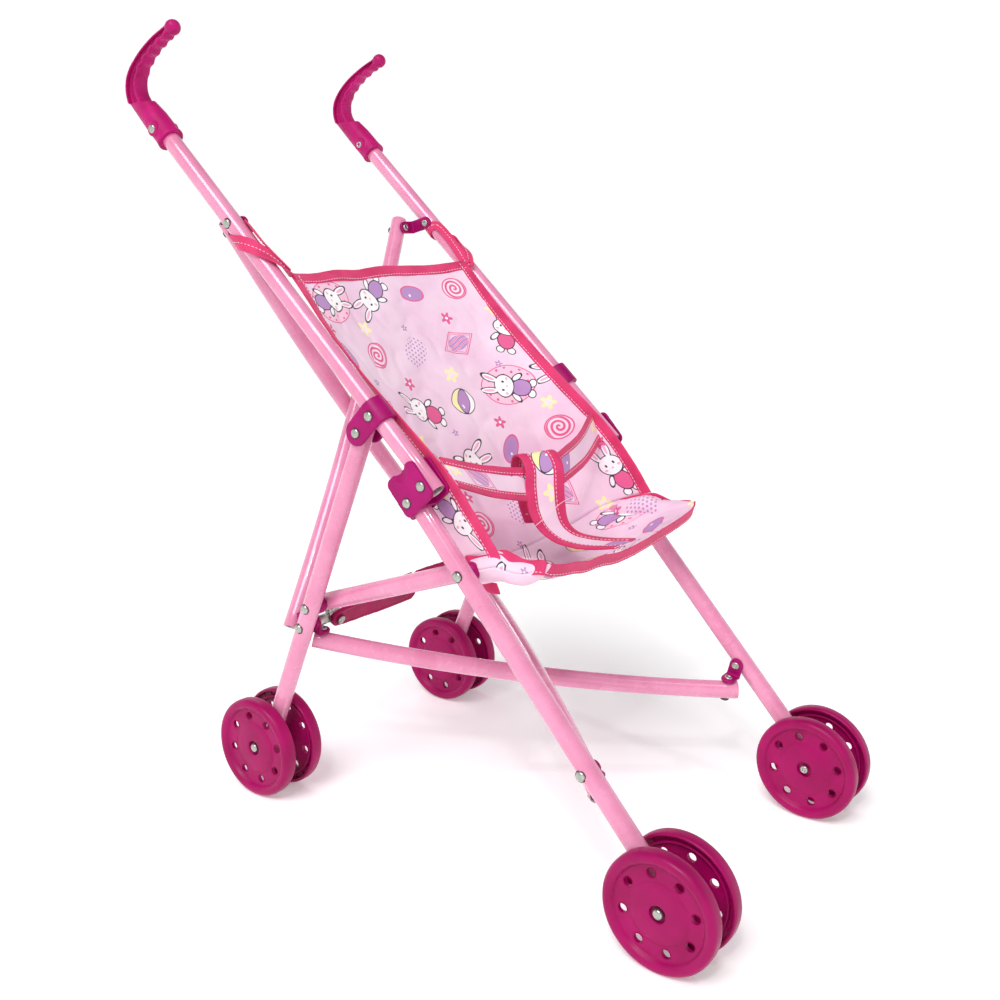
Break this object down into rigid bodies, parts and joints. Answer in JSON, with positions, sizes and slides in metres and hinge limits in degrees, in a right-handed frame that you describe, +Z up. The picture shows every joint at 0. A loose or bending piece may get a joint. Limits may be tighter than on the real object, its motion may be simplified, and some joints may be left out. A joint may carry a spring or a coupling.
{
  "type": "doll stroller",
  "caption": "Folding umbrella stroller for a doll, with a crossed-brace tube frame, twin wheels on each leg, hook handles and a printed sling seat with belt and crotch strap.",
  "frame": {"origin": "on the floor, under the middle of the open stroller's bounding box", "axes": "-Y is the front (the way the doll faces), +Z up, X across; each wheel axle is parallel to X"},
  "size_m": [0.249, 0.4938, 0.5535],
  "materials": {
    "pink_tube": "gloss",
    "magenta_plastic": "satin",
    "steel": "satin",
    "printed_cloth": "matt"
  },
  "bodies": {
    "handle_left": {"handle_tube_left": "pink_tube", "grip_left": "magenta_plastic", "collar_left": "magenta_plastic", "handle_rivets_left": "steel", "seat_back": "printed_cloth", "side_wing_left": "printed_cloth", "side_wing_right": "printed_cloth", "waist_belt": "printed_cloth", "crotch_strap": "printed_cloth"},
    "front_leg_left": {"front_leg_left": "pink_tube", "knuckle_left": "magenta_plastic", "front_spacer_left": "magenta_plastic", "front_axle_left": "steel"},
    "rear_leg_left": {"rear_leg_left": "pink_tube", "rear_spacer_left": "magenta_plastic", "rear_axle_left": "steel"},
    "seat_rail_left": {"seat_rail_left": "pink_tube", "seat_base": "printed_cloth"},
    "top_link_left": {"top_link_left": "magenta_plastic"},
    "back_brace_left": {"back_brace_left": "pink_tube"},
    "front_bracket_left": {"front_bracket_left": "magenta_plastic"},
    "floor_brace_left": {"floor_brace_left": "pink_tube"},
    "low_link_left": {"low_link_left": "magenta_plastic"},
    "rear_bracket_left": {"rear_bracket_left": "magenta_plastic"},
    "lock_arm_left": {"lock_arm_left": "magenta_plastic"},
    "wheel_fl_out": {"wheel_fl_out": "magenta_plastic"},
    "wheel_fl_in": {"wheel_fl_in": "magenta_plastic"},
    "wheel_rl_out": {"wheel_rl_out": "magenta_plastic"},
    "wheel_rl_in": {"wheel_rl_in": "magenta_plastic"},
    "handle_right": {"handle_tube_right": "pink_tube", "grip_right": "magenta_plastic", "collar_right": "magenta_plastic", "handle_rivets_right": "steel"},
    "front_leg_right": {"front_leg_right": "pink_tube", "knuckle_right": "magenta_plastic", "front_spacer_right": "magenta_plastic", "front_axle_right": "steel"},
    "rear_leg_right": {"rear_leg_right": "pink_tube", "rear_spacer_right": "magenta_plastic", "rear_axle_right": "steel"},
    "seat_rail_right": {"seat_rail_right": "pink_tube"},
    "top_link_right": {"top_link_right": "magenta_plastic"},
    "back_brace_right": {"back_brace_right": "pink_tube"},
    "front_bracket_right": {"front_bracket_right": "magenta_plastic"},
    "floor_brace_right": {"floor_brace_right": "pink_tube"},
    "low_link_right": {"low_link_right": "magenta_plastic"},
    "rear_bracket_right": {"rear_bracket_right": "magenta_plastic"},
    "lock_arm_right": {"lock_arm_right": "magenta_plastic"},
    "wheel_fr_out": {"wheel_fr_out": "magenta_plastic"},
    "wheel_fr_in": {"wheel_fr_in": "magenta_plastic"},
    "wheel_rr_out": {"wheel_rr_out": "magenta_plastic"},
    "wheel_rr_in": {"wheel_rr_in": "magenta_plastic"}
  },
  "joints": [
    {"name": "fold", "type": "hinge", "parent": "handle_left", "child": "rear_leg_left", "pos_m": [-0.106, 0.0179, 0.2792], "axis": [-1, 0, 0], "range_deg": [0, 63.28]},
    {"name": "front_leg_left_hinge", "type": "hinge", "parent": "handle_left", "child": "front_leg_left", "pos_m": [-0.106, -0.0366, 0.2523], "axis": [-1, 0, 0], "range_deg": [0, 150]},
    {"name": "seat_rail_left_hinge", "type": "hinge", "parent": "rear_leg_left", "child": "seat_rail_left", "pos_m": [-0.106, 0.0716, 0.1485], "axis": [-1, 0, 0], "range_deg": [0, 20.08]},
    {"name": "top_link_left_hinge", "type": "hinge", "parent": "handle_left", "child": "top_link_left", "pos_m": [-0.106, 0.138, 0.4107], "axis": [-1, 0, 0], "range_deg": [0, 29.5]},
    {"name": "back_brace_left_pivot", "type": "hinge", "parent": "top_link_left", "child": "back_brace_left", "pos_m": [-0.088, 0.1602, 0.405], "axis": [0, 0.9769, -0.2139], "range_deg": [0, 26.1]},
    {"name": "front_bracket_left_hinge", "type": "hinge", "parent": "front_leg_left", "child": "front_bracket_left", "pos_m": [-0.106, -0.1548, 0.096], "axis": [1, 0, 0], "range_deg": [0, 36.6]},
    {"name": "floor_brace_left_pivot", "type": "hinge", "parent": "front_bracket_left", "child": "floor_brace_left", "pos_m": [-0.09, -0.1513, 0.0795], "axis": [0, -0.1654, 0.9862], "range_deg": [0, 30.34]},
    {"name": "low_link_left_hinge", "type": "hinge", "parent": "rear_leg_left", "child": "low_link_left", "pos_m": [-0.106, 0.0782, 0.133], "axis": [1, 0, 0], "range_deg": [0, 33.78]},
    {"name": "rear_bracket_left_hinge", "type": "hinge", "parent": "rear_leg_left", "child": "rear_bracket_left", "pos_m": [-0.106, 0.0782, 0.133], "axis": [-1, 0, 0], "range_deg": [0, 50.12]},
    {"name": "lock_arm_left_hinge", "type": "hinge", "parent": "rear_leg_left", "child": "lock_arm_left", "pos_m": [-0.076, 0.0782, 0.133], "axis": [0, 0.9254, 0.379], "range_deg": [0, 86.23]},
    {"name": "wheel_fl_out_spin", "type": "hinge", "parent": "front_leg_left", "child": "wheel_fl_out", "pos_m": [-0.106, -0.2128, 0.036], "axis": [1, 0, 0], "continuous": true},
    {"name": "wheel_fl_in_spin", "type": "hinge", "parent": "front_leg_left", "child": "wheel_fl_in", "pos_m": [-0.106, -0.2128, 0.036], "axis": [1, 0, 0], "continuous": true},
    {"name": "wheel_rl_out_spin", "type": "hinge", "parent": "rear_leg_left", "child": "wheel_rl_out", "pos_m": [-0.106, 0.1175, 0.036], "axis": [1, 0, 0], "continuous": true},
    {"name": "wheel_rl_in_spin", "type": "hinge", "parent": "rear_leg_left", "child": "wheel_rl_in", "pos_m": [-0.106, 0.1175, 0.036], "axis": [1, 0, 0], "continuous": true},
    {"name": "width_slide", "type": "slide", "parent": "handle_left", "child": "handle_right", "axis": [-1, 0, 0], "range_m": [0, 0.14201], "deforming": ["seat_back", "side_wing_left", "side_wing_right", "waist_belt", "crotch_strap", "seat_base"]},
    {"name": "rear_leg_right_hinge", "type": "hinge", "parent": "handle_right", "child": "rear_leg_right", "pos_m": [0.106, 0.0179, 0.2792], "axis": [-1, 0, 0], "range_deg": [0, 63.28]},
    {"name": "front_leg_right_hinge", "type": "hinge", "parent": "handle_right", "child": "front_leg_right", "pos_m": [0.106, -0.0366, 0.2523], "axis": [-1, 0, 0], "range_deg": [0, 150]},
    {"name": "seat_rail_right_hinge", "type": "hinge", "parent": "rear_leg_right", "child": "seat_rail_right", "pos_m": [0.106, 0.0716, 0.1485], "axis": [-1, 0, 0], "range_deg": [0, 20.08]},
    {"name": "top_link_right_hinge", "type": "hinge", "parent": "handle_right", "child": "top_link_right", "pos_m": [0.106, 0.138, 0.4107], "axis": [-1, 0, 0], "range_deg": [0, 29.5]},
    {"name": "back_brace_right_pivot", "type": "hinge", "parent": "top_link_right", "child": "back_brace_right", "pos_m": [0.088, 0.1602, 0.405], "axis": [0, -0.9769, 0.2139], "range_deg": [0, 26.1]},
    {"name": "front_bracket_right_hinge", "type": "hinge", "parent": "front_leg_right", "child": "front_bracket_right", "pos_m": [0.106, -0.1548, 0.096], "axis": [1, 0, 0], "range_deg": [0, 36.6]},
    {"name": "floor_brace_right_pivot", "type": "hinge", "parent": "front_bracket_right", "child": "floor_brace_right", "pos_m": [0.09, -0.1513, 0.0795], "axis": [0, 0.1654, -0.9862], "range_deg": [0, 30.34]},
    {"name": "low_link_right_hinge", "type": "hinge", "parent": "rear_leg_right", "child": "low_link_right", "pos_m": [0.106, 0.0782, 0.133], "axis": [1, 0, 0], "range_deg": [0, 33.78]},
    {"name": "rear_bracket_right_hinge", "type": "hinge", "parent": "rear_leg_right", "child": "rear_bracket_right", "pos_m": [0.106, 0.0782, 0.133], "axis": [-1, 0, 0], "range_deg": [0, 50.12]},
    {"name": "lock_arm_right_hinge", "type": "hinge", "parent": "rear_leg_right", "child": "lock_arm_right", "pos_m": [0.076, 0.0782, 0.133], "axis": [0, -0.9254, -0.379], "range_deg": [0, 86.23]},
    {"name": "wheel_fr_out_spin", "type": "hinge", "parent": "front_leg_right", "child": "wheel_fr_out", "pos_m": [0.106, -0.2128, 0.036], "axis": [1, 0, 0], "continuous": true},
    {"name": "wheel_fr_in_spin", "type": "hinge", "parent": "front_leg_right", "child": "wheel_fr_in", "pos_m": [0.106, -0.2128, 0.036], "axis": [1, 0, 0], "continuous": true},
    {"name": "wheel_rr_out_spin", "type": "hinge", "parent": "rear_leg_right", "child": "wheel_rr_out", "pos_m": [0.106, 0.1175, 0.036], "axis": [1, 0, 0], "continuous": true},
    {"name": "wheel_rr_in_spin", "type": "hinge", "parent": "rear_leg_right", "child": "wheel_rr_in", "pos_m": [0.106, 0.1175, 0.036], "axis": [1, 0, 0], "continuous": true}
  ],
  "couplings": [
    {"joint": "front_leg_left_hinge", "follows": "fold", "ratio": 2.3704},
    {"joint": "seat_rail_left_hinge", "follows": "fold", "ratio": 0.31738},
    {"joint": "top_link_left_hinge", "follows": "fold", "ratio": 0.46618},
    {"joint": "back_brace_left_pivot", "follows": "fold", "ratio": 0.41237},
    {"joint": "front_bracket_left_hinge", "follows": "fold", "ratio": 0.57838},
    {"joint": "floor_brace_left_pivot", "follows": "fold", "ratio": 0.47939},
    {"joint": "low_link_left_hinge", "follows": "fold", "ratio": 0.53382},
    {"joint": "rear_bracket_left_hinge", "follows": "fold", "ratio": 0.79204},
    {"joint": "lock_arm_left_hinge", "follows": "fold", "ratio": 1.3626},
    {"joint": "width_slide", "follows": "fold", "m_per_rad": 0.12857},
    {"joint": "rear_leg_right_hinge", "follows": "fold", "ratio": 1},
    {"joint": "front_leg_right_hinge", "follows": "fold", "ratio": 2.3704},
    {"joint": "seat_rail_right_hinge", "follows": "fold", "ratio": 0.31738},
    {"joint": "top_link_right_hinge", "follows": "fold", "ratio": 0.46618},
    {"joint": "back_brace_right_pivot", "follows": "fold", "ratio": 0.41237},
    {"joint": "front_bracket_right_hinge", "follows": "fold", "ratio": 0.57838},
    {"joint": "floor_brace_right_pivot", "follows": "fold", "ratio": 0.47939},
    {"joint": "low_link_right_hinge", "follows": "fold", "ratio": 0.53382},
    {"joint": "rear_bracket_right_hinge", "follows": "fold", "ratio": 0.79204},
    {"joint": "lock_arm_right_hinge", "follows": "fold", "ratio": 1.3626}
  ]
}
